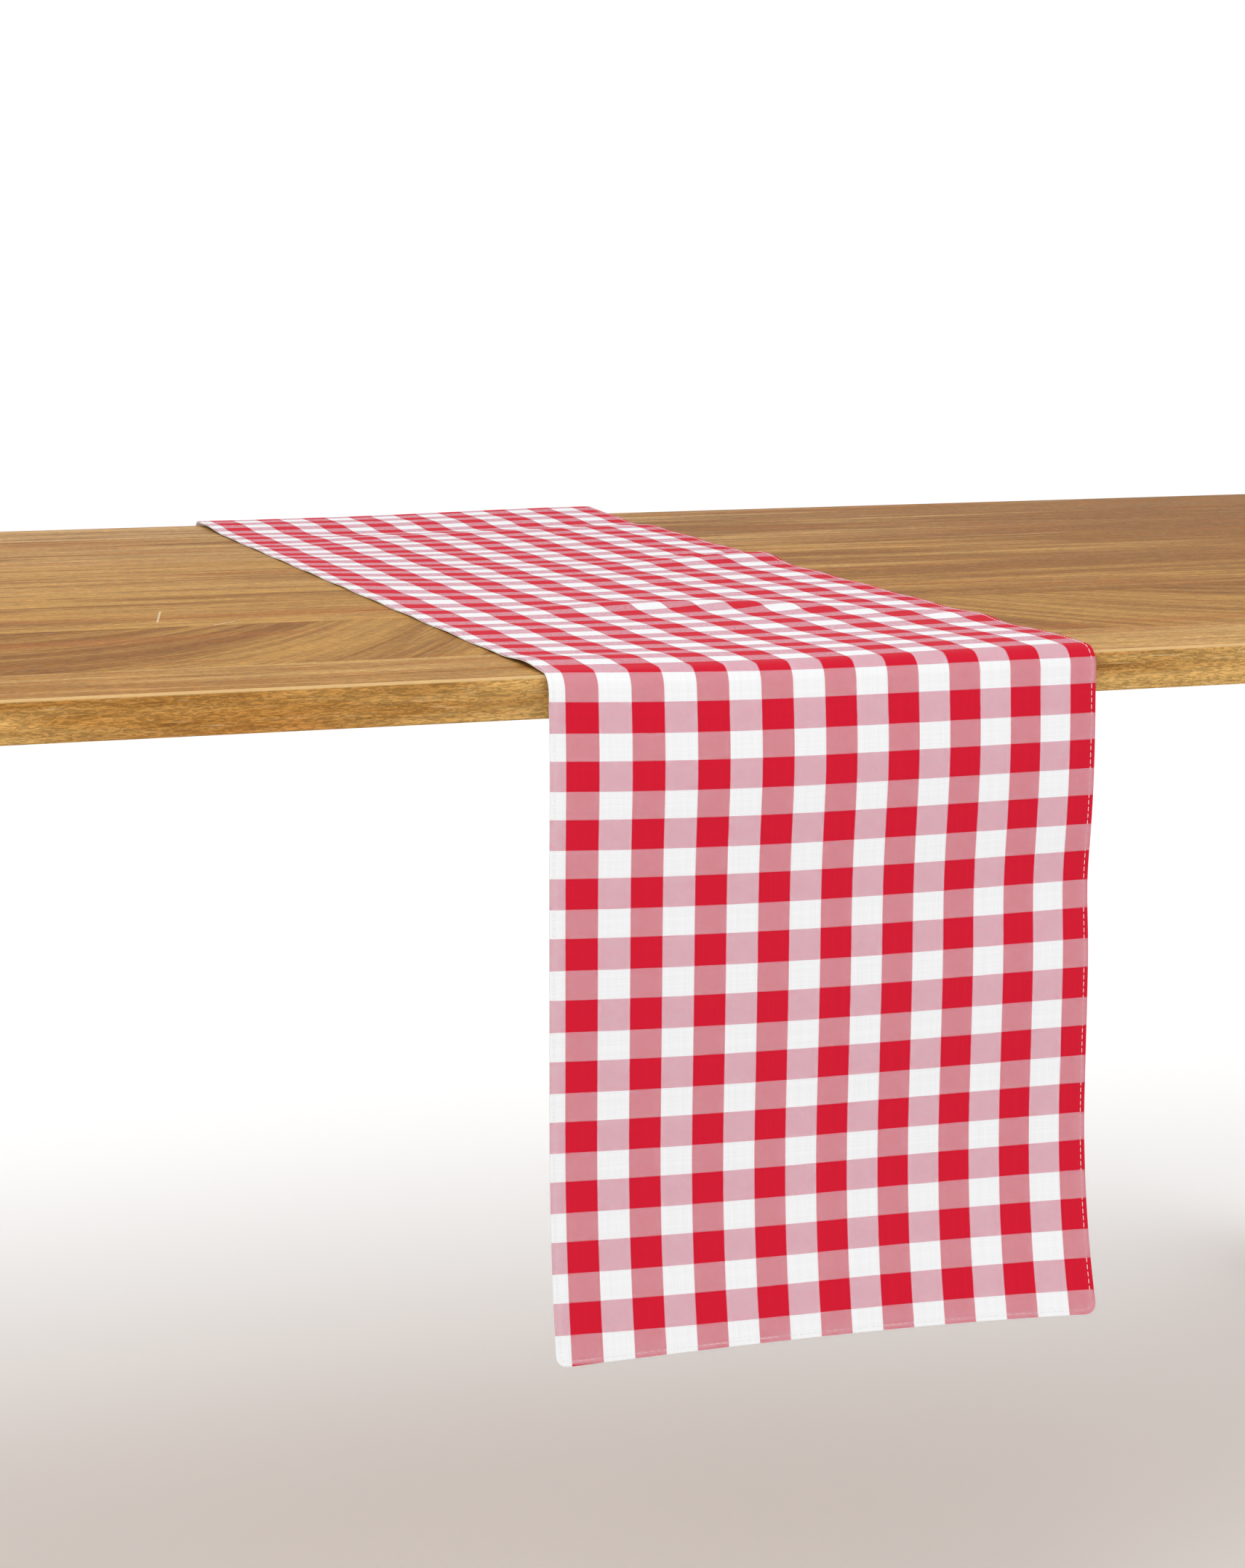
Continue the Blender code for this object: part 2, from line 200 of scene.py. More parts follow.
# %% [markdown]
# ## Seen from the side
# All the runner's shape follows from one line, its middle seen from the side: it hangs in front of
# the table, bends over the edge, lies on the boards and hangs down again behind. The line is
# measured by its own length from the front hem, because cloth bends but hardly stretches, so a
# point of the flat cloth keeps its place along the line.

# %% Side view of the runner
SPARE = 0.01              # the line runs this much past both hems, for the roll of the edge
LINE_STEP = 0.0002        # from one point of the line to the next


def side_line(step):
    """The runner from the side, as arc length, y and z: a plumb line, a quarter circle of radius
    BEND, a level run, and the same again behind."""
    level = HALF_DEPTH + STAND - BEND
    centre = TABLE_TOP + REST - BEND
    turn = np.arange(0, math.pi / 2, step / BEND)
    across = np.arange(-level, level, step)
    front = np.arange(TABLE_TOP - HEM_DEPTH - SPARE, centre, step)
    back = np.arange(TABLE_TOP - BACK_HEM_DEPTH - SPARE, centre, step)[::-1]
    out = level + BEND
    y = [front * 0 - out, -level - BEND * np.cos(turn), across, level + BEND * np.cos(turn[::-1])]
    z = [front, centre + BEND * np.sin(turn), across * 0 + TABLE_TOP + REST]
    y = np.concatenate(y + [back * 0 + out])
    z = np.concatenate(z + [centre + BEND * np.sin(turn[::-1]), back])
    arc = np.concatenate([[0], np.cumsum(np.hypot(np.diff(y), np.diff(z)))])
    hem = np.interp(TABLE_TOP - HEM_DEPTH, front, arc[: len(front)])
    return arc - hem, y, z


ARC, LINE_Y, LINE_Z = side_line(LINE_STEP)
TURN_Y, TURN_Z = np.gradient(LINE_Y, ARC), np.gradient(LINE_Z, ARC)
BEND_START = HEM_DEPTH + REST - BEND
BEND_END = BEND_START + BEND * math.pi / 2
LENGTH = float(ARC[-1] - SPARE)
in_front = ARC < LENGTH - BACK_HEM_DEPTH
MIDDLE = float(np.interp(0, LINE_Y[in_front], ARC[in_front]))
print("runner", round(LENGTH / MM), "mm long, its middle at", round(MIDDLE / MM))
print("front bend from", round(BEND_START / MM, 1), "to", round(BEND_END / MM, 1), "mm")

# %% [markdown]
# ## How the cloth lies
# Cloth that was folded in a packet never lies dead flat. Every swelling, hollow and crease is one
# number at each point: how far the cloth stands off its own side line. A wave is built from three
# simple curves: an S-curve, a bell, and a crease with a steep and a gentle side. Heights are in mm,
# and places and widths in metres.


# %% Curves that the waves are made of
def smooth(x, start, end):
    """0 below start, 1 above end, and an S-curve between them."""
    x = np.clip((x - start) / (end - start), 0, 1)
    return x * x * (3 - 2 * x)


def bump(x, centre, width):
    """A bell curve: 1 at centre, and 0.37 one width away."""
    return np.exp(-(((x - centre) / width) ** 2))


def ridge(x, near, far):
    """A crease with its crest at x = 0, near wide on the low side and far wide on the high one."""
    return np.where(x < 0, bump(x, 0, near), bump(x, 0, far))


# %% [markdown]
# The hanging end swells just below the bend, because two layers of cotton are springy. It draws in
# at half height, and flares at the hem, most at the right, where it remembers an old fold.


# %% The hanging end
def hang_wave(across, down):
    """Outward swing of the front end in mm: a swelling, a hollow and a flare, with a dent at the
    right. across runs from 0 to 1, and down is in metres below the bend."""
    edges = (2 * across - 1) ** 2
    swell = (5.2 - 3.5 * edges) * bump(down, centre=0.041, width=0.046) - 0.8
    hollow = (-6.3 + 4.5 * edges) * bump(down, centre=0.33 + 0.04 * across, width=0.147)
    flare = (11.9 + 12.2 * across**3.6) * np.clip((down - 0.26) / 0.14, 0, 1.2) ** 2
    dent = 3.9 * across**3 * bump(down, centre=0.129, width=0.032)
    return swell + hollow + flare - dent


# %% [markdown]
# On the table the left side rests on the boards and the right side stays a few millimetres clear.
# Old folds stand up as low ridges: one right across, one only at the right, and one that slants
# from the left middle towards the front right. A fine ripple keeps the rest from being dead flat.


# %% The lying cloth
def lying_wave(across, behind):
    """Height of the lying cloth above its side line in mm: a curled left edge, a loose right side,
    a rise towards each bend, three folds and a ripple. behind is the distance in metres from the
    table's front edge."""
    s = across * WIDTH
    curl = 0.2 * bump(s, centre=0, width=0.03)
    loose = 2.5 * smooth(across, 0.3, 1)
    back_rise = 2.6 * smooth(behind, 0.86, 1)
    front_rise = (2.5 - 1.3 * smooth(across, 0, 0.6)) * bump(behind, centre=0.040, width=0.034)
    far_fold = 1.4 * ridge(behind - 0.822, near=0.13, far=0.02)
    far_dip = 0.9 * bump(behind, centre=0.88, width=0.035)
    side_fold = 4.0 * smooth(across, 0.6, 1) * ridge(behind - 0.56, near=0.036, far=0.02)
    crest = behind - 0.302 + 2.6 * np.clip(s - 0.11, 0, None) ** 2
    slant_height = 3.0 * smooth(s, 0.07, 0.16) * (1 - 0.6 * smooth(s, 0.22, 0.32))
    slant_fold = slant_height * ridge(crest, near=0.016, far=0.036)
    ripple = 0.35 * np.sin(2 * math.pi * behind / 0.093 + 3 * across) * smooth(behind, 0.03, 0.1)
    folds = smooth(across, 0.1, 0.3) * (far_fold - far_dip) + side_fold + slant_fold
    return curl + loose + back_rise + front_rise + folds + ripple


# %% [markdown]
# The checks aren't quite square either. The weft, the yarns that run across, was pulled askew on
# the loom and in the wash. So the pattern's rows are moved along the cloth by a few millimetres,
# which changes only where a colour is drawn, and not the shape.


# %% Rows of the weave
def weft_drift(across, down):
    """How far the weft has drifted from square on the hanging end, in mm: the left pulls it up, and
    the rows crowd and spread a little on the way down."""
    left = -4.5 * np.clip(1 - 2 * across, 0, 1) ** 2
    middle = 0.8 * bump(across, centre=0.62, width=0.25) * bump(down, centre=0.17, width=0.09)
    rows = 2.8 * bump(down, centre=0, width=0.04) - 2.0 * bump(down, centre=0.134, width=0.06)
    return left + middle + rows + 1.5 * np.clip(5 * down - 1, 0, 1) + 0.4


def weft_bow(across, behind):
    """How far the rows on the table lie behind an even spacing, in mm: pulled forward just behind
    the bend, and pushed back half way across the table, most at the left."""
    forward = (20 * smooth(across, -0.1, 0.7) - 5) * bump(behind, centre=0.10, width=0.10)
    left = 44 * (1 - across) ** 4 * bump(behind, centre=0.55, width=0.20)
    return left + 10 * bump(behind, centre=0.48, width=0.08) - forward


# %% [markdown]
# ## From flat cloth to hanging cloth
# One function carries any point of the flat cloth to its place in the room. It finds the point on
# the side line, then moves it straight out from the line by its wave. The cloth's two layers and
# its stitches all use it with their own small lift, so they can't come apart.

# %% A point of the runner
BEND_DROP = 0.016         # the bend over the edge is done this far below the table top
WAVE_JOIN = 0.005         # the two waves fade into each other this far past both ends of the bend
DRIFT_FADE = 0.15         # the hanging end's drift dies out over this much of the lying cloth


def runner_at(s, t, lift):
    """Points of the runner at s across and t along from the front hem, lift above its middle: the
    side line, moved out along its own normal by the waves and by lift. Also the rows' drift there,
    in metres."""
    y, z = np.interp(t, ARC, LINE_Y), np.interp(t, ARC, LINE_Z)
    turn_y, turn_z = np.interp(t, ARC, TURN_Y), np.interp(t, ARC, TURN_Z)
    across, on_top = s / WIDTH, smooth(t, BEND_START - WAVE_JOIN, BEND_END + WAVE_JOIN)
    down = np.where(t < MIDDLE, TABLE_TOP - BEND_DROP - z, 0)
    wave = (1 - on_top) * hang_wave(across, down) + on_top * lying_wave(across, y + HALF_DEPTH)
    out = wave * MM + lift
    points = np.stack([RUNNER_LEFT + s, y - turn_z * out, z + turn_y * out], -1)
    drift = weft_drift(across, down) * (1 - smooth(t, BEND_END, BEND_END + DRIFT_FADE))
    return points, MM * (drift - on_top * weft_bow(across, y + HALF_DEPTH))


hem_corners, _ = runner_at(np.array([0, WIDTH]), np.array([0.0, 0.0]), 0)
print("hem corners in mm", (hem_corners / MM).round(1).tolist())

# %% [markdown]
# ## A grid as a mesh
# Blender takes a mesh as flat lists: all corner points, then the corner numbers of all faces. Both
# come from numpy in one go, with no loop over points. The UV map holds each point's place on the
# flat cloth in metres, so a woven pattern bends with the cloth.


# %% Surface mesh
def surface(name, points, uv, outward):
    """A mesh object from a grid of points, with smooth faces and a UV map in metres. Point k of the
    grid is joined to the next in its row and the two in the next row."""
    rows, columns = points.shape[:2]
    k = np.arange(rows * columns).reshape(rows, columns)
    faces = np.stack([k[:-1, :-1], k[:-1, 1:], k[1:, 1:], k[1:, :-1]], -1).reshape(-1, 4)
    if not outward:
        faces = faces[:, ::-1]
    mesh = bpy.data.meshes.new(name)
    mesh.vertices.add(rows * columns)
    mesh.vertices.foreach_set("co", points.astype(np.float32).ravel())
    mesh.loops.add(faces.size)
    mesh.loops.foreach_set("vertex_index", faces.astype(np.int32).ravel())
    mesh.polygons.add(len(faces))
    mesh.polygons.foreach_set("loop_start", np.arange(0, faces.size, 4, dtype=np.int32))
    mesh.polygons.foreach_set("use_smooth", np.ones(len(faces), bool))
    mesh.update(calc_edges=True)
    uv_map = mesh.uv_layers.new(name="cloth")
    uv_map.data.foreach_set("uv", uv.reshape(-1, 2)[faces.ravel()].astype(np.float32).ravel())
    mesh.validate()
    made = bpy.data.objects.new(name, mesh)
    bpy.context.scene.collection.objects.link(made)
    return made


# %% [markdown]
# ## The flat half-sheet
# Each layer is made as two half-sheets that meet at the middle of the table, one for each end. A
# half-sheet starts as a flat grid of lines. They lie close together at the edge and over the bend,
# where the cloth turns sharply, and further apart where it is nearly flat.

# %% Flat grid
ROLL = 0.0006             # radius of the roll at the edge
ROLL_ANGLE = math.radians(62)
OVER = ROLL * ROLL_ANGLE  # length of cloth in the roll
CORNER = 0.007            # radius of the hem's corners
ROLL_STEP, EDGE_STEP, BEND_STEP = OVER / 3, 0.0011, 0.0015
STEP_ACROSS, STEP_ALONG = 0.0034, 0.0033
BEND_MARGIN = 0.004                  # the fine lines go on this far past the front bend
BACK_BEND = (-0.014, 0.016)          # where they lie behind, from the length that hangs there


def spaced(stops, steps):
    """Positions from stop to stop, each span cut into pieces no longer than its step. A millionth
    of a piece is taken off first, so that rounding never adds one."""
    spans = zip(stops, stops[1:], steps)
    parts = [np.linspace(a, b, max(1, math.ceil((b - a) / h - 1e-6)) + 1)[:-1] for a, b, h in spans]
    return np.concatenate(parts + [[stops[-1]]])


def half_grid(hem_first):
    """t and s of one flat half-sheet as two grids: the front half from its hem to the middle, or
    the back half from the middle to its hem. The roll's lines lie outside the edge's lines."""
    if hem_first:
        bend = (BEND_START - BEND_MARGIN, BEND_END + BEND_MARGIN)
        t = spaced([ROLL - OVER, ROLL, CORNER, *bend, MIDDLE],
                   [ROLL_STEP, EDGE_STEP, STEP_ALONG, BEND_STEP, STEP_ALONG])
    else:
        bend = [LENGTH - BACK_HEM_DEPTH + past for past in BACK_BEND]
        t = spaced([MIDDLE, *bend, LENGTH - CORNER, LENGTH - ROLL, LENGTH - ROLL + OVER],
                   [STEP_ALONG, BEND_STEP, STEP_ALONG, EDGE_STEP, ROLL_STEP])
    s = spaced([ROLL - OVER, ROLL, CORNER, WIDTH - CORNER, WIDTH - ROLL, WIDTH - ROLL + OVER],
               [ROLL_STEP, EDGE_STEP, STEP_ACROSS, EDGE_STEP, ROLL_STEP])
    return np.meshgrid(t, s, indexing="ij")


print("grids of", half_grid(True)[0].shape, "and", half_grid(False)[0].shape, "points")

# %% [markdown]
# ## The turned edge
# Face and backing are turned right side out after sewing, so at the edge each one rolls to the seam
# between them. This gives the runner its soft rounded edge and its rounded corners. The flat grid's
# outermost lines are carried round part of a small circle, and near a corner they run round it.


# %% Rolled edge and round corners
def rolled(excess):
    """How far a point lies out, and its share of the layer's lift, at arc length excess past the
    start of the roll: straight before it, then r sin(e / r) out and cos(e / r) of the lift."""
    angle = np.clip(excess / ROLL, 0, None)
    return np.where(excess > 0, ROLL * np.sin(angle), excess), np.cos(angle)


def turned_edge(s, t, hem_first):
    """Where each point of a flat grid goes. A point more than CORNER inside the edge stays. Any
    other is at far from the rim of that inner sheet, and goes to radius + rolled out along its own
    ray, which rounds the corner squares. Gives the place s and t, the same on the flat cloth, the
    distance from the edge, and the share of the layer's lift."""
    radius = CORNER - ROLL
    past_s = np.maximum(np.abs(s - WIDTH / 2) - (WIDTH / 2 - CORNER), 0)
    past_t = np.maximum(CORNER - t if hem_first else t - (LENGTH - CORNER), 0)
    sign_s, sign_t = np.sign(s - WIDTH / 2), -1 if hem_first else 1
    far = np.maximum(past_s, past_t)
    reach = np.hypot(past_s, past_t) + 1e-12    # never 0, so that it can divide
    out, share = rolled(far - radius)
    inside = far <= 0

    def along_ray(scale):
        """The point on its own ray from the inner sheet's rim, at scale times its flat distance."""
        return (np.where(inside, s, s - sign_s * past_s + sign_s * past_s * scale),
                np.where(inside, t, t - sign_t * past_t + sign_t * past_t * scale))

    place_s, place_t = along_ray((radius + out) / reach)
    flat = np.stack(along_ray(far / reach), -1)
    inset_t = place_t if hem_first else LENGTH - place_t
    inset = np.minimum(np.minimum(place_s, WIDTH - place_s), inset_t)
    return place_s, place_t, flat, np.where(inside, inset, ROLL - out), share


# %% [markdown]
# ## Two layers of cloth
# The layers lie a hair apart, and the edge stitching pinches them together. Solidify then gives
# each one its thickness, half inwards and half outwards, and closes its rim.

# %% Face and backing
LAYER = 0.0003            # each layer's middle lies this far from the runner's middle
CLOTH = 0.0005            # thickness of one layer
SEAM_INSET = 0.0028       # distance of the stitching from the edge
PINCH = 0.5               # share of the gap between the layers that the stitching closes
PINCH_WIDTH = 0.0009      # how far the pinch spreads to either side


def layer(name, hem_first, side):
    """Half of one layer as a mesh object: the front half, or the back half. side is 1 for the face
    and -1 for the backing."""
    t, s = half_grid(hem_first)
    place_s, place_t, uv, edge, share = turned_edge(s, t, hem_first)
    pinch = 1 - PINCH * bump(edge, SEAM_INSET, PINCH_WIDTH)
    points, drift = runner_at(place_s, place_t, side * LAYER * share * pinch)
    uv[..., 1] += drift
    made = surface(name, points, uv, outward=side > 0)
    wall = made.modifiers.new("thickness", "SOLIDIFY")
    wall.thickness, wall.offset = CLOTH, 0
    return made


ENDS = {"front": True, "back": False}      # whether the half begins at its hem
SIDES = {"face": 1, "backing": -1}
pieces = {}
for end, hem_first in ENDS.items():
    for part, side in SIDES.items():
        pieces[end, part] = layer(f"runner_{end}_{part}", hem_first, side)
        print(pieces[end, part].name, len(pieces[end, part].data.polygons), "quads")

# %% [markdown]
# ## Stitching
# A line of white lockstitch runs round the runner just inside its edge and pulls the two layers
# together. Each stitch you see is a short piece of thread that comes up through one hole and goes
# down through the next. There are hundreds, so each is a rod of only twenty faces whose ends dip
# into the cloth.

# %% Path of the seam
STITCH, GAP = 0.0031, 0.0012   # length of one stitch, and of the gap to the next


def seam_line(hem_first):
    """Both ends of every stitch round one half, as s and s, then t and t: up one side, round the
    two corners of the hem and back. The corners keep the seam the same distance from the edge."""
    low, r = SEAM_INSET, CORNER - SEAM_INSET
    turn = np.linspace(0, math.pi / 2, 12)
    s = [[low], low + r - r * np.cos(turn), WIDTH - low - r + r * np.sin(turn), [WIDTH - low]]
    t = [[MIDDLE], low + r - r * np.sin(turn), low + r - r * np.cos(turn), [MIDDLE]]
    s, t = np.concatenate(s), np.concatenate(t)
    if not hem_first:
        t = np.where(t == MIDDLE, MIDDLE, LENGTH - t)
    arc = np.concatenate([[0], np.cumsum(np.hypot(np.diff(s), np.diff(t)))])
    at = np.arange(GAP, arc[-1] - STITCH, STITCH + GAP) + STITCH / 2
    ahead, behind = at + STITCH / 2, at - STITCH / 2
    return [np.interp(a, arc, v) for v in (s, t) for a in (behind, ahead)]


print("stitches round each half", [len(seam_line(hem_first)[0]) for hem_first in ENDS.values()])

# %% [markdown]
# A rod is four rings of six points. The two middle rings lie on the cloth, and the end rings are
# narrower and sunk into it. All rods of a half share one set of face numbers, shifted by the
# number of points in a rod from each stitch to the next.

# %% Stitches
THREAD = 0.00021               # radius of the thread
RING_AT = [0.0, 0.25, 0.75, 1.0]         # place of each ring along the stitch
RING_RADIUS = [0.6, 1.0, 1.0, 0.6]       # its radius, in thread radii
RING_LIFT = [-0.25, 0.75, 0.75, -0.25]   # its height above the cloth, in thread radii
RING_POINTS = 6
ROD_POINTS = len(RING_AT) * RING_POINTS
ROD_FACES = (len(RING_AT) - 1) * RING_POINTS + 2


def rod_faces(count, side):
    """Faces of count rods: quads between the rings, and a six-sided cap at each end."""
    k = np.arange(ROD_POINTS).reshape(-1, RING_POINTS)
    turned = np.roll(k, -1, 1)
    ring = np.stack([k[:-1], turned[:-1], turned[1:], k[1:]], -1).reshape(-1, 4)
    caps = [list(k[0][::-1]), list(k[-1])]
    first = np.arange(count) * ROD_POINTS
    quads = (first[:, None, None] + ring).reshape(-1, 4)[:, :: -side]
    ends = np.concatenate([(first[:, None] + cap)[:, :: -side] for cap in caps])
    return quads.tolist() + ends.tolist()


def stitches(name, hem_first, side):
    """All stitches of one half and one layer as one mesh: each ring is a circle round the thread's
    line, carried onto the cloth by runner_at."""
    s0, s1, t0, t1 = (v[:, None, None] for v in seam_line(hem_first))
    along, radius, lift = (np.array(v)[:, None] for v in (RING_AT, RING_RADIUS, RING_LIFT))
    radius, lift = radius * THREAD, lift * THREAD
    angle = np.arange(RING_POINTS) * 2 * math.pi / RING_POINTS
    length = np.hypot(s1 - s0, t1 - t0)
    sideways = radius * np.cos(angle)
    s = s0 + (s1 - s0) * along - (t1 - t0) / length * sideways
    t = t0 + (t1 - t0) * along + (s1 - s0) / length * sideways
    height = side * (LAYER * (1 - PINCH) + CLOTH / 2 + lift + radius * np.sin(angle))
    points, _ = runner_at(s, t, np.broadcast_to(height, s.shape))
    mesh = bpy.data.meshes.new(name)
    mesh.from_pydata(points.reshape(-1, 3), [], rod_faces(len(s), side))
    mesh.polygons.foreach_set("use_smooth", np.ones(len(mesh.polygons), bool))
    made = bpy.data.objects.new(name, mesh)
    bpy.context.scene.collection.objects.link(made)
    return made


seams = {}
for end, hem_first in ENDS.items():
    for part, side in SIDES.items():
        seams[end, part] = stitches(f"runner_{end}_{part}_stitches", hem_first, side)
        print(seams[end, part].name, len(seams[end, part].data.polygons) // ROD_FACES, "stitches")

# %% [markdown]
# ## Yarn-dyed gingham
# Gingham is a plain weave of red and white cotton yarn: equal stripes in the warp, along the
# runner, cross equal stripes in the weft. The pattern is therefore drawn yarn by yarn, from the
# flat cloth's own coordinates in metres.

# %% Sizes and colours of the gingham
STRIPE_WARP = 0.0409          # width of one red and one white stripe across the runner
STRIPE_WEFT = 0.03676         # and along it
YARNS = 60                    # yarns in that width; the real cloth has more, too fine to show
MARGIN = 0.24 * STRIPE_WARP   # from the left edge to the first red stripe
FIRST_WEFT = -0.0012          # where a red weft stripe ends, beyond the front hem
RED_WARP_TO = 0.5             # a red warp stripe is the first half of its turn
RED_WEFT_FROM = 0.478         # a red weft stripe is a little wider than the white one
RED_WARP_SHARE = 0.76         # how much of the warp shows where it is red and the weft white
WHITE_WARP_SHARE = 0.51       # and where it is white and the weft red
UNEVEN_LENGTH = 1 / 600       # 1.7 mm, over which a spun yarn swells and thins
SHARE_TO_WAVE = -1.1          # turns a yarn's share into the height at which the waves are cut
RED_YARN, WHITE_YARN = "#C9182F", "#E8E8E9"
MIXED_GAP_SHADE = "#F4F1FD"             # painted shade in the gaps where the yarns' colours differ
print("a repeat of", round(STRIPE_WARP / MM, 2), "by", round(STRIPE_WEFT / MM, 2), "mm")
print("yarns", round(STRIPE_WARP / YARNS / MM, 2), "mm apart")

# %% [markdown]
# Warp and weft are worked out in the same way, so one function does both: from the distance across
# the yarns it finds the stripe, the yarn within it, and where on that yarn's round side a point is.

# %% Yarns of one direction
def yarn_set(add, distance, stripe):
    """The yarns that lie side by side along distance: how far through its pair of stripes a point
    is, from 0 to 1; the wave sin(pi n) of yarn n, which is 0 between yarns; and its own tone."""
    turn = add("Math", distance, stripe, operation="DIVIDE")
    number = add("Math", turn, YARNS, operation="MULTIPLY")
    wave = add("Math", add("Math", number, math.pi, operation="MULTIPLY"), operation="SINE")
    tone = add("TexWhiteNoise", W=add("Math", number, operation="FLOOR"), noise_dimensions="1D")
    return add("Math", turn, operation="FRACT"), wave, tone


# %% [markdown]
# Where the product of the two waves is above a limit the warp is on top, and elsewhere the weft.
# The limit is moved by the colours, because the dyed red yarn is thicker and hides more of the
# white one, and by noise, because spun yarn swells and thins, which makes the pink heathered.
# It gives the eye a dry, matt cloth with crisp checks and a faint grain.

# %% Gingham material
# painted light and shade on a round yarn: the side's brightness, and what the crown adds to it
CROWN_PAINTED_LIGHT, SIDE_PAINTED_SHADE = 0.26, 0.78    # what a yarn's crown adds to the brightness of its side
YARN_TONE, YARN_HEIGHT = 0.07, 0.3    # how much single yarns differ in tone and in height


def gingham(name, red, white):
    """Plain weave: warp yarn i and weft yarn j cross at sin(pi i) sin(pi j) > 0, which puts each on
    top in turn. Each yarn's sides are painted darker than its crown, as painted shade."""
    material, add = new_material(name)
    cloth = add("UVMap", uv_map="cloth")
    flat = add("SeparateXYZ", cloth).node.outputs
    across = add("Math", flat[0], MARGIN, operation="SUBTRACT")
    along = add("Math", flat[1], FIRST_WEFT, operation="SUBTRACT")
    along = add("Math", along, 0.0, operation="MAXIMUM")
    warp_turn, warp_wave, warp_tone = yarn_set(add, across, STRIPE_WARP)
    weft_turn, weft_wave, weft_tone = yarn_set(add, along, STRIPE_WEFT)
    warp_red = add("Math", warp_turn, RED_WARP_TO, operation="LESS_THAN")
    weft_red = add("Math", weft_turn, RED_WEFT_FROM, operation="GREATER_THAN")

    # which of the two is on top
    crossing = add("Math", warp_wave, weft_wave, operation="MULTIPLY")
    more, least = RED_WARP_SHARE - WHITE_WARP_SHARE, WHITE_WARP_SHARE - 0.5
    share = add("Math", warp_red, more, least, operation="MULTIPLY_ADD")
    uneven = add("TexNoise", Vector=cloth, Scale=1 / UNEVEN_LENGTH, Detail=1.0)
    share = add("Math", share, add("Math", uneven, 0.5, operation="SUBTRACT"), operation="ADD")
    limit = add("Math", share, SHARE_TO_WAVE, operation="MULTIPLY")
    on_top = add("Math", crossing, limit, operation="GREATER_THAN")

    # its colour, and 1 on its crown and 0 in the gap to the next, for the painted shade and the bump
    colours = {"in_6": linear(white), "in_7": linear(red), "data_type": "RGBA", "out": 2}
    warp_colour, weft_colour = add("Mix", warp_red, **colours), add("Mix", weft_red, **colours)
    colour = add("Mix", on_top, in_6=weft_colour, in_7=warp_colour, data_type="RGBA", out=2)
    warp_round = add("Math", warp_wave, operation="ABSOLUTE")
    weft_round = add("Math", weft_wave, operation="ABSOLUTE")
    crown = add("Mix", on_top, in_2=weft_round, in_3=warp_round, data_type="FLOAT")
    own = add("Mix", on_top, in_2=weft_tone, in_3=warp_tone, data_type="FLOAT")

    # painted shade: each yarn is painted darker on its sides than on its crown
    tone = add("Math", crown, CROWN_PAINTED_LIGHT, SIDE_PAINTED_SHADE, operation="MULTIPLY_ADD")
    tone = add("Math", own, YARN_TONE, tone, operation="MULTIPLY_ADD")
    shaded = add("VectorMath", colour, Scale=tone, operation="SCALE")
    # painted shade in the gaps between yarns, where warp and weft differ in colour
    differ = add("Math", add("Math", warp_red, weft_red, operation="SUBTRACT"), operation="ABSOLUTE")
    mixed_gap_shade = {"in_6": shaded, "in_7": linear(MIXED_GAP_SHADE), "data_type": "RGBA", "blend_type": "MULTIPLY"}
    shaded = add("Mix", differ, out=2, **mixed_gap_shade)
    height = add("Math", own, YARN_HEIGHT, crown, operation="MULTIPLY_ADD")
    relief = add("Bump", Strength=0.35, Distance=0.15 * MM, Height=height)
    fibre = add("BsdfPrincipled", Base_Color=shaded, Roughness=0.9, IOR=1.4, Specular_IOR_Level=0.12,
                Sheen_Weight=0.03, Sheen_Roughness=0.5, Normal=relief)
    add("OutputMaterial", fibre)
    return material


face_cloth = gingham("yarn_dyed_cotton_gingham", RED_YARN, WHITE_YARN)
print(face_cloth.name, len(face_cloth.node_tree.nodes), "nodes")

# %% [markdown]
# ## Backing and thread
# The backing is plain undyed cotton, a little greyer than the white of the checks and just as matt.
# The thread is cotton too, spun hard from two plies, so it catches more light than the cloth and
# shows slanted bands.

# %% Backing and thread materials
BACKING_PITCH = 0.7 * MM      # the real yarns are about half as far apart, too fine to show
# the undyed cotton, and a painted highlight on its yarn crowns
UNDYED, BACKING_CROWN_HIGHLIGHT = "#D8D5CF", "#FFFFFF"
THREAD_LIGHT, THREAD_SHADE = "#F6F6F6", "#CFCFCF"
TWIST_SCALE = 400.0           # bands about 0.8 mm apart, coarser than the real twist, to show


def backing_weave(name, colour, crowns):
    """Plain weave in one colour: the product of two sines, one for each direction, is 1 on one
    crown and 0 on the next. The crowns are painted lighter, as a painted highlight."""
    material, add = new_material(name)
    flat = add("SeparateXYZ", add("UVMap", uv_map="cloth")).node.outputs
    turns = [add("Math", flat[k], math.pi / BACKING_PITCH, operation="MULTIPLY") for k in (0, 1)]
    waves = [add("Math", turn, operation="SINE") for turn in turns]
    crossing = add("Math", *waves, operation="MULTIPLY")
    crossing = add("Math", crossing, 0.5, 0.5, operation="MULTIPLY_ADD")
    shaded = add("Mix", crossing, in_6=linear(colour), in_7=linear(crowns), data_type="RGBA", out=2)
    relief = add("Bump", Strength=0.3, Distance=0.15 * MM, Height=crossing)
    fibre = add("BsdfPrincipled", Base_Color=shaded, Roughness=0.92, IOR=1.5, Specular_IOR_Level=0.3,
                Sheen_Weight=0.2, Normal=relief)
    add("OutputMaterial", fibre)
    return material


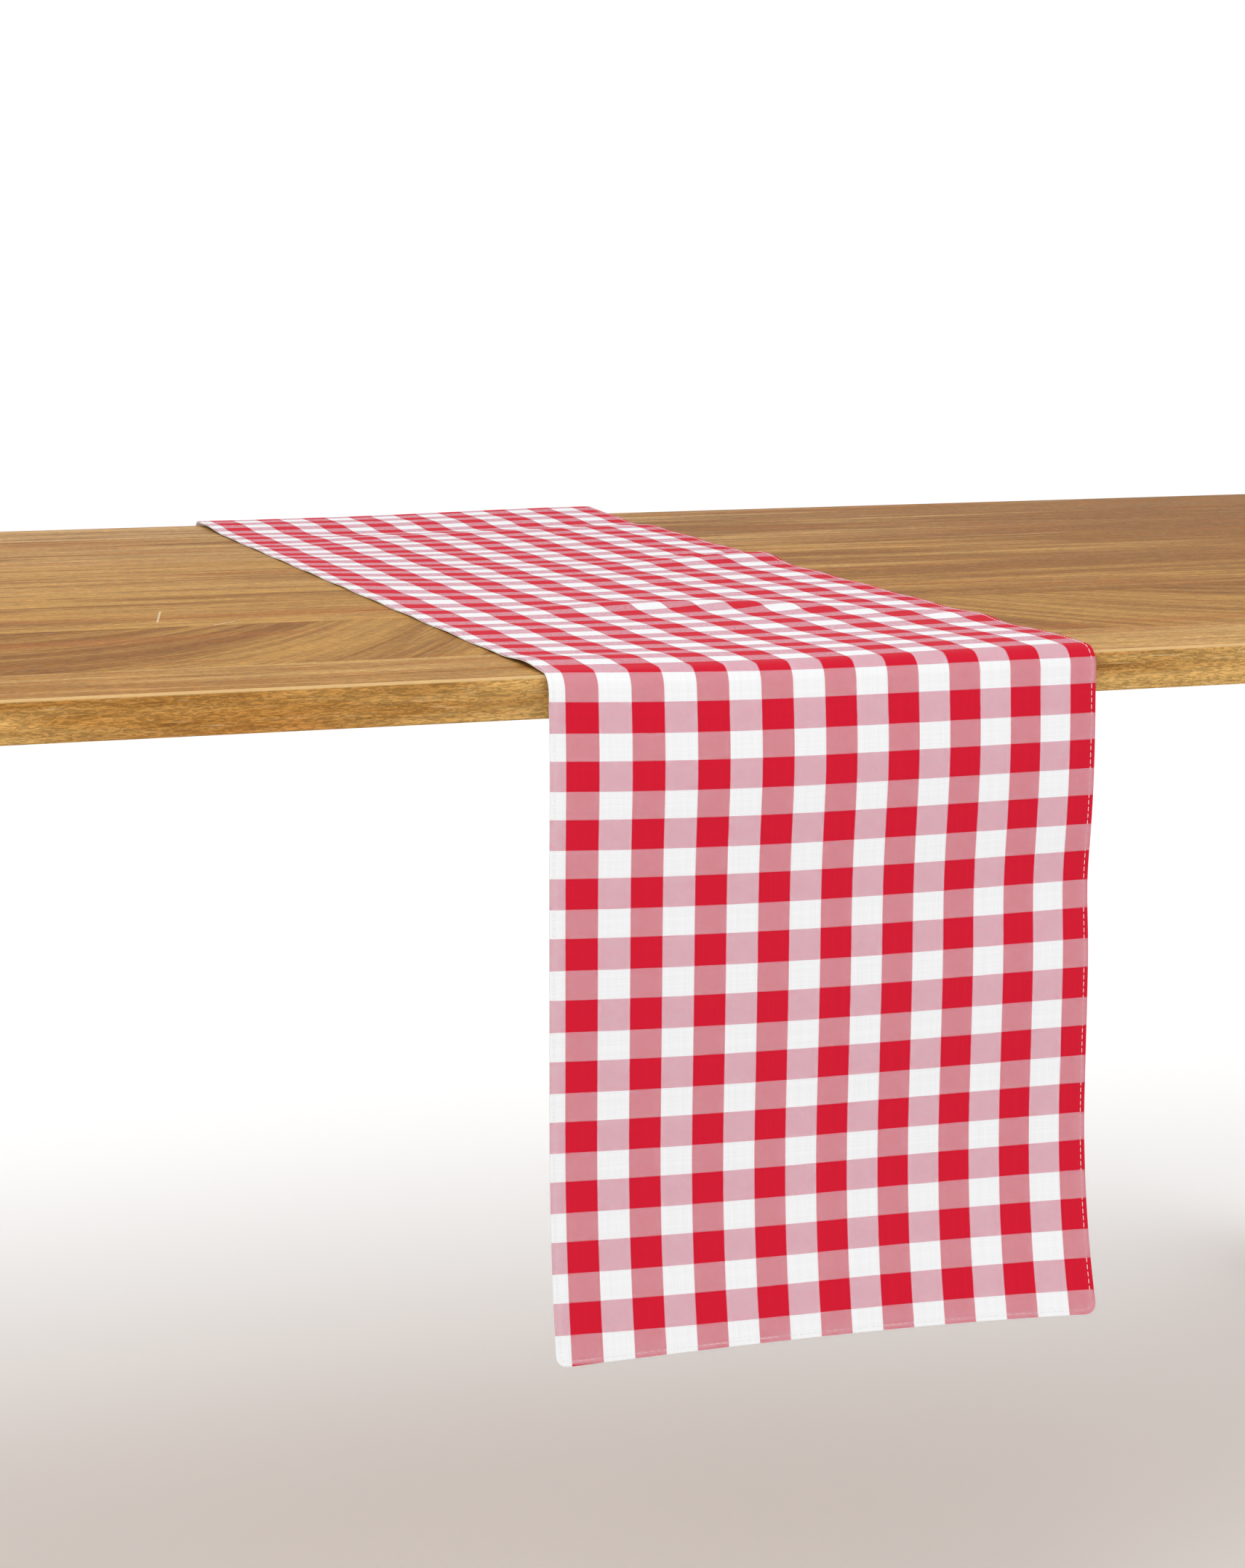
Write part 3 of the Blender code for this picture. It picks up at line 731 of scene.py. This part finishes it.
def spun_thread(name, light, shade):
    """Sewing thread: two plies twisted together, which show as slanted bands of light and shade."""
    material, add = new_material(name)
    place = add("TexCoord", out="Object")
    twist = add("TexWave", Vector=place, Scale=TWIST_SCALE, bands_direction="DIAGONAL", out=1)
    shaded = add("Mix", twist, in_6=linear(shade), in_7=linear(light), data_type="RGBA", out=2)
    ply = add("BsdfPrincipled", Base_Color=shaded, Roughness=0.7, IOR=1.5, Specular_IOR_Level=0.3)
    add("OutputMaterial", ply)
    return material


backing_cloth = backing_weave("undyed_cotton_backing", UNDYED, BACKING_CROWN_HIGHLIGHT)
thread = spun_thread("white_sewing_thread", THREAD_LIGHT, THREAD_SHADE)
print("made", backing_cloth.name, "and", thread.name)

# %% [markdown]
# ## Giving the runner its cloth
# Each half-sheet gets the gingham or the backing, and its stitches get the thread. All are fixed
# where they stand, and the plain solids that stood for the cloth are hidden.

# %% Materials, and what the sheets replace
for (end, part), piece in pieces.items():
    piece.data.materials.append(face_cloth if part == "face" else backing_cloth)
    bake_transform(piece)
    seam = seams[end, part]
    seam.data.materials.append(thread)
    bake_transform(seam)
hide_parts("runner_face", "front_drop_face")
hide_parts("back_drop_face")
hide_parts("runner_backing", "front_drop_backing")
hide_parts("back_drop_backing")

# %% [markdown]
# ## Oiled hardwood
# The top is glued up from boards sawn along the trunk. Growth rings cut at a slant draw broad
# streaks along each board, and where the trunk bulged they rise in an arch. Over that lie fine
# fibres and open pores, which oil fills darkest. Each pattern is noise stretched along the grain
# to the real size of what it draws.

# %% Rings, fibres and pores
ARCH_WIDTH = 0.25             # half width of the arch in the rings, in metres


def grain_patterns(add, seed, arch, axis):
    """The wood's own axes, and its noise patterns by name, each about 0.5 on average. x runs along
    the grain. The rings follow y - arch * exp(-(x / ARCH_WIDTH)^2), so they run straight where arch
    is 0 and otherwise climb over a hill."""
    split = add("SeparateXYZ", add("TexCoord", out="Object")).node.outputs
    x, y, z = (split[(axis + k) % 3] for k in range(3))
    squared = add("Math", x, x, operation="MULTIPLY")
    slopes = add("Math", squared, -1 / ARCH_WIDTH**2, operation="MULTIPLY")
    hill = add("Math", slopes, operation="EXPONENT")
    ring = add("Math", hill, -arch, y, operation="MULTIPLY_ADD")
    # streaks to a metre along the grain and across it, the line that they follow, and then the
    # noise's distortion, detail and roughness
    kinds = {
        "broad": (1.3, 13, ring, 0.5, 3, 0.6),        # 770 x 77 mm, rings cut at a slant
        "streak": (3, 48, ring, 0.7, 5, 0.7),         # 330 x 21 mm, single rings
        "warm": (2.5, 22, y, 0.6, 3, 0.6),            # 400 x 45 mm, a reddish flush
        "fine": (16, 300, ring, 0.5, 3, 0.7),         # 62 x 3.3 mm, bundles of fibres
        "glint": (34, 520, ring, 0.4, 1, 0.6),          # 29 x 1.9 mm, painted highlights where open pores catch light
        "pores": (190, 1050, y, 0.8, 2, 0.6),         # 5 x 1 mm; real ones are 0.2 mm wide
    }
    patterns = {}
    for kind, (along, across, line, wander, detail, roughness) in kinds.items():
        down_grain = add("Math", x, along, operation="MULTIPLY")
        over_grain = add("Math", line, across, seed, operation="MULTIPLY_ADD")
        inward = add("Math", z, across, operation="MULTIPLY")
        place = add("CombineXYZ", down_grain, over_grain, inward)
        patterns[kind] = add("TexNoise", Vector=place, Scale=1.0, Detail=detail, Roughness=roughness,
                             Distortion=wander)
    return x, y, z, patterns


# %% [markdown]
# Every mark on the wood is a second colour laid over the first where a pattern is strong: a dark
# ring, a reddish flush, a painted highlight where pores catch light, a scratch, or a painted
# highlight along an edge.

# %% Stains, painted highlights and scratches
SCRATCH_RIM, SCRATCH_CORE = 0.0010, 0.0003    # half widths of a scratch, faint and full, in metres
BRUISED, BRUISE = "#E6D2B0", 0.6              # dry, crushed fibres, and how much they cover


# lays on real stains, and the painted highlights too
def tinted(add, colour, tint, pattern, low, high, strength):
    """colour turned towards tint by strength where pattern passes from low to high, in an S-curve.
    low may be the larger one."""
    amount = add("MapRange", pattern, low, high, interpolation_type="SMOOTHSTEP")
    amount = add("Math", amount, strength, operation="MULTIPLY")
    return add("Mix", amount, in_6=colour, in_7=linear(tint), data_type="RGBA", out=2)


def scratched(add, colour, x, y, ends):
    """A straight pale scratch from x0, y0 to x1, y1: a point's place along the line and its
    distance off it are both sums of x and y, each times a number."""
    x0, y0, x1, y1 = ends
    length = math.hypot(x1 - x0, y1 - y0)
    dx, dy = (x1 - x0) / length, (y1 - y0) / length
    along = add("Math", y, dy, -x0 * dx - y0 * dy, operation="MULTIPLY_ADD")
    along = add("Math", x, dx, along, operation="MULTIPLY_ADD")
    off = add("Math", y, dx, x0 * dy - y0 * dx, operation="MULTIPLY_ADD")
    off = add("Math", add("Math", x, -dy, off, operation="MULTIPLY_ADD"), operation="ABSOLUTE")
    from_middle = add("Math", along, length / 2, operation="SUBTRACT")
    from_middle = add("Math", from_middle, operation="ABSOLUTE")
    within = add("Math", from_middle, length / 2, operation="LESS_THAN")
    strength = add("Math", within, BRUISE, operation="MULTIPLY")
    return tinted(add, colour, BRUISED, off, SCRATCH_RIM, SCRATCH_CORE, strength)


# %% [markdown]
# Oil soaks in and leaves no film, so the wood stays satin: its gloss is low, a little uneven, and
# broken by the pores, which are tiny grooves.

# %% Wood material
PALE, DARK = "#B48643", "#8A5A24"        # early and late wood under oil
VEIN, FLUSH = "#7A4A22", "#A2622A"       # the darkest rings, and a reddish flush
PORE_GLINT, ARRIS_HIGHLIGHT = "#DFC294", "#DDB983"       # painted highlights in open pores, and a painted highlight along an arris
HIGHLIGHT_FROM, HIGHLIGHT_TO = 0.0022, 0.0012      # how far inside the arris the painted highlight begins and is full


def oiled_hardwood(name, seed, pale=PALE, dark=DARK, arch=0.0, slope=0.0, axis=0,
                   highlight_arris=None, scratches=()):
    """Wood with its grain along the axis given, 0 for x. slope darkens the board towards one end,
    highlight_arris is the z - y of an arris that gets a painted highlight, a pale line along it, and
    each scratch is x0, y0, x1, y1."""
    material, add = new_material(name)
    x, y, z, grain = grain_patterns(add, seed, arch, axis)
    half_streak = add("Math", grain["streak"], 0.5, operation="MULTIPLY")
    heart = add("Math", grain["broad"], 0.5, half_streak, operation="MULTIPLY_ADD")
    heart = add("Math", x, slope, heart, operation="MULTIPLY_ADD")
    colour = tinted(add, linear(dark), pale, heart, low=0.41, high=0.58, strength=1.0)
    colour = tinted(add, colour, VEIN, grain["streak"], low=0.40, high=0.33, strength=0.45)
    colour = tinted(add, colour, FLUSH, grain["warm"], low=0.52, high=0.66, strength=0.5)

    # fibres and pores darken the colour and break up the surface
    pores = add("MapRange", grain["pores"], 0.40, 0.60, interpolation_type="SMOOTHSTEP")
    fibres = add("Math", grain["fine"], 1.1, 0.45, operation="MULTIPLY_ADD")
    tone = add("Math", fibres, add("Math", pores, 0.48, 0.72, operation="MULTIPLY_ADD"),
               operation="MULTIPLY")
    colour = add("VectorMath", colour, Scale=tone, operation="SCALE")
    # painted highlights: pale dashes where open pores catch light
    colour = tinted(add, colour, PORE_GLINT, grain["glint"], low=0.66, high=0.74, strength=0.3)
    for ends in scratches:
        colour = scratched(add, colour, x, y, ends)
    # painted highlight: a pale line along the arris
    if highlight_arris is not None:
        inside = add("Math", z, y, operation="SUBTRACT")
        colour = tinted(add, colour, ARRIS_HIGHLIGHT, inside, low=highlight_arris - HIGHLIGHT_FROM,
                         high=highlight_arris - HIGHLIGHT_TO, strength=0.75)

    height = add("Math", grain["fine"], 0.6, pores, operation="MULTIPLY_ADD")
    relief = add("Bump", Strength=0.5, Distance=0.2 * MM, Height=height)
    rough = add("Math", grain["fine"], 0.2, 0.45, operation="MULTIPLY_ADD")
    wood = add("BsdfPrincipled", Base_Color=colour, Roughness=rough, IOR=1.4,
               Specular_IOR_Level=0.05, Normal=relief)
    add("OutputMaterial", wood)
    return material


# %% [markdown]
# No two boards of a top match. The narrow front one is paler with a painted highlight on its arris,
# the next has an arch in its rings, the third carries two knocks, and the ones behind get lighter
# and duller.

# %% Wood of each board
FRONT_EDGE = -HALF_DEPTH
FRONT_ARRIS_LINE = TABLE_TOP + HALF_DEPTH      # z - y along the top's front arris, which gets a painted highlight
knocks = [(-0.330, FRONT_EDGE + 0.389, -0.344, FRONT_EDGE + 0.327),
          (-0.293, FRONT_EDGE + 0.319, -0.312, FRONT_EDGE + 0.300)]
board_looks = [
    ("front", {"pale": "#C2985A", "dark": "#A27136", "highlight_arris": FRONT_ARRIS_LINE}),
    ("arched", {"arch": 0.5}),
    ("scratched", {"pale": "#BA8C49", "dark": "#90602A", "slope": -0.1, "scratches": knocks}),
    ("middle", {"pale": "#BC8F4F", "dark": "#92632E", "slope": -0.12}),
    ("far", {"pale": "#BC9258", "dark": "#8E6030", "slope": -0.14}),
    ("back", {"pale": "#C49C68", "dark": "#94693A", "slope": -0.16}),
]
SEED_STEP = 3.7               # moves the noise on, so that no two boards share a pattern
wood_of = {}
for k, (place, look) in enumerate(board_looks, start=1):
    wood = oiled_hardwood(f"oiled_hardwood_{place}_board", SEED_STEP * k, **look)
    wood_of[f"top_board_{k}"] = wood
    print(f"top_board_{k}", wood.name)

# %% [markdown]
# Below the top, each rail and leg is sawn so that its grain runs along its own length, because wood
# bends and splits across the grain. So the grain follows the longest side of each part. The wood
# there is painted darker, as painted shade under the top.

# %% Wood on every frame part
# painted shade: a darker copy of the wood for the parts under the top
SHADED_PALE, SHADED_DARK = "#A87746", "#7A4C22"
RAIL_SEED = 1.3


def grain_axis(name):
    """The axis, 0 to 2, of the longest side of a part's box."""
    low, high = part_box(name)
    return int(np.argmax(np.array(high) - np.array(low)))


def finish(names, choose):
    """Gives each named frame part the one material that choose gives for its name."""
    for name in names:
        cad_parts[name].data.materials.clear()
        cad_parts[name].data.materials.append(choose(name))


along_axis = [
    oiled_hardwood(f"oiled_hardwood_rails_{letter}", RAIL_SEED + axis, SHADED_PALE, SHADED_DARK,
                   axis=axis)
    for axis, letter in enumerate("xyz")
]
metal_names = [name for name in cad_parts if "screw" in name or "bolt" in name]
plastic_names = [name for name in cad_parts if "glide" in name]
cloth_names = [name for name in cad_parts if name.endswith(("_face", "_backing"))]
not_wood = metal_names + plastic_names + cloth_names
wood_names = [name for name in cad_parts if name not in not_wood]
finish(wood_names, lambda name: wood_of.get(name) or along_axis[grain_axis(name)])
print(len(wood_names), "wooden parts, of them", len(wood_of), "boards")

# %% [markdown]
# ## Screws, bolts and glides
# The hidden fastenings are steel with a thin coat of zinc, whose crystals give it a faint grey
# mottle and an uneven gloss. The glides under the legs are moulded plastic, matt from the texture
# of the mould.

# %% Metal and plastic
ZINC_LIGHT, ZINC_GREY, BLACK = "#B9BCC0", "#8E9195", "#1B1B1C"
CRYSTAL_SCALE, SCRATCH_SCALE = 900.0, 400.0   # crystals of 1.1 mm, and marks of 2.5 mm
GRIT_SCALE = 2500.0                           # grit of 0.4 mm


def zinc_plated(name, colour, grey):
    """Steel under zinc: a metal, slightly mottled grey, with small scratches in its roughness."""
    material, add = new_material(name)
    place = add("TexCoord", out="Object")
    crystal = add("TexVoronoi", Vector=place, Scale=CRYSTAL_SCALE)
    scratch = add("TexNoise", Vector=place, Scale=SCRATCH_SCALE, Detail=3.0)
    shaded = add("Mix", crystal, in_6=linear(colour), in_7=linear(grey), data_type="RGBA", out=2)
    rough = add("Math", scratch, 0.3, 0.25, operation="MULTIPLY_ADD")
    plated = add("BsdfPrincipled", Base_Color=shaded, Metallic=1.0, Roughness=rough)
    add("OutputMaterial", plated)
    return material


def moulded_plastic(name, colour):
    """Plastic with the fine, even grain of an etched mould."""
    material, add = new_material(name)
    grit = add("TexNoise", Vector=add("TexCoord", out="Object"), Scale=GRIT_SCALE, Detail=2.0)
    relief = add("Bump", Strength=0.4, Distance=0.05 * MM, Height=grit)
    moulded = add("BsdfPrincipled", Base_Color=linear(colour), Roughness=0.55, Normal=relief)
    add("OutputMaterial", moulded)
    return material


zinc = zinc_plated("zinc_plated_steel", ZINC_LIGHT, ZINC_GREY)
black_plastic = moulded_plastic("black_moulded_plastic", BLACK)
finish(metal_names, lambda name: zinc)
finish(plastic_names, lambda name: black_plastic)
print(len(metal_names), "steel and", len(plastic_names), "plastic parts")
print(len(cloth_names), "cloth solids replaced")
